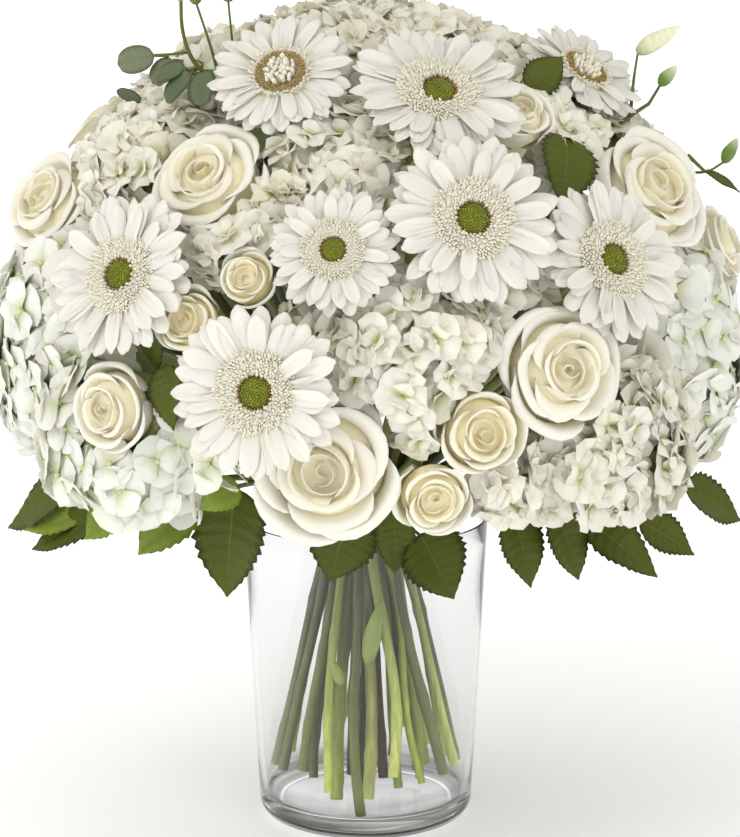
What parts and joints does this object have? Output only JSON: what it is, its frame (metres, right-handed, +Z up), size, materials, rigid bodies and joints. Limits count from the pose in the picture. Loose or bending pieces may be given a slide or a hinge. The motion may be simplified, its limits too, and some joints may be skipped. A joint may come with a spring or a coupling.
{
  "type": "floral table centerpiece",
  "caption": "Dome of white and cream cut flowers with serrated leaves and budded sprigs, its bunched stems fanning down into a tapered clear glass vase with a thick floor.",
  "frame": {"origin": "centre of the vase's flat underside, on the surface that it stands on", "axes": "+Z up along the vase's axis, -Y towards the front of the arrangement, +X to the right as seen from the front"},
  "size_m": [0.4497, 0.4677, 0.516],
  "materials": {
    "petal": "soft matte white petal",
    "disc": "olive green with a gold rim",
    "rose": "soft cream petal",
    "floret": "matte white with a touch of green",
    "stem": "smooth yellow-green stem",
    "wood": "dark brown bark",
    "leaf": "dark green, slightly glossy",
    "eucalyptus": "matte grey-green",
    "glass": "clear, polished"
  },
  "bodies": {
    "root": {"vase": "glass", "stems_green": "stem", "stems_woody": "wood", "gerbera_front_low_petals": "petal", "gerbera_front_low_centre": "disc", "gerbera_front_high_petals": "petal", "gerbera_front_high_centre": "disc", "gerbera_left_petals": "petal", "gerbera_left_centre": "disc", "gerbera_right_petals": "petal", "gerbera_right_centre": "disc", "gerbera_centre_petals": "petal", "gerbera_centre_centre": "disc", "gerbera_top_right_petals": "petal", "gerbera_top_right_centre": "disc", "gerbera_top_left_petals": "petal", "gerbera_top_left_centre": "disc", "gerbera_crown_right_petals": "petal", "gerbera_crown_right_centre": "disc", "gerbera_back_left_petals": "petal", "gerbera_back_left_centre": "disc", "gerbera_back_right_petals": "petal", "gerbera_back_right_centre": "disc", "gerbera_back_top_petals": "petal", "gerbera_back_top_centre": "disc", "rose_front_low": "rose", "rose_front_right": "rose", "rose_upper_left": "rose", "rose_upper_right": "rose", "rose_far_left": "rose", "rose_lower_right": "rose", "rose_lower_left": "rose", "rose_top_right": "rose", "rose_far_right": "rose", "spray_rose_low": "rose", "spray_rose_left": "rose", "spray_rose_centre": "rose", "rose_back_left": "rose", "rose_back_centre": "rose", "rose_back_right": "rose", "leaves_left": "leaf", "leaves_front_left": "leaf", "leaves_front": "leaf", "leaves_right": "leaf", "sprig_right": "leaf", "sprig_left": "eucalyptus", "hydrangea_left_upper": "floret", "hydrangea_left_lower": "floret", "hydrangea_right_upper": "floret", "hydrangea_right_lower": "floret", "hydrangea_back_left": "floret", "hydrangea_back_centre": "floret", "hydrangea_back_right": "floret", "stock_centre": "floret", "stock_left": "floret", "stock_inner": "floret", "stock_middle": "floret", "stock_back": "floret", "carnation_top": "floret", "carnation_right": "floret"}
  },
  "joints": []
}
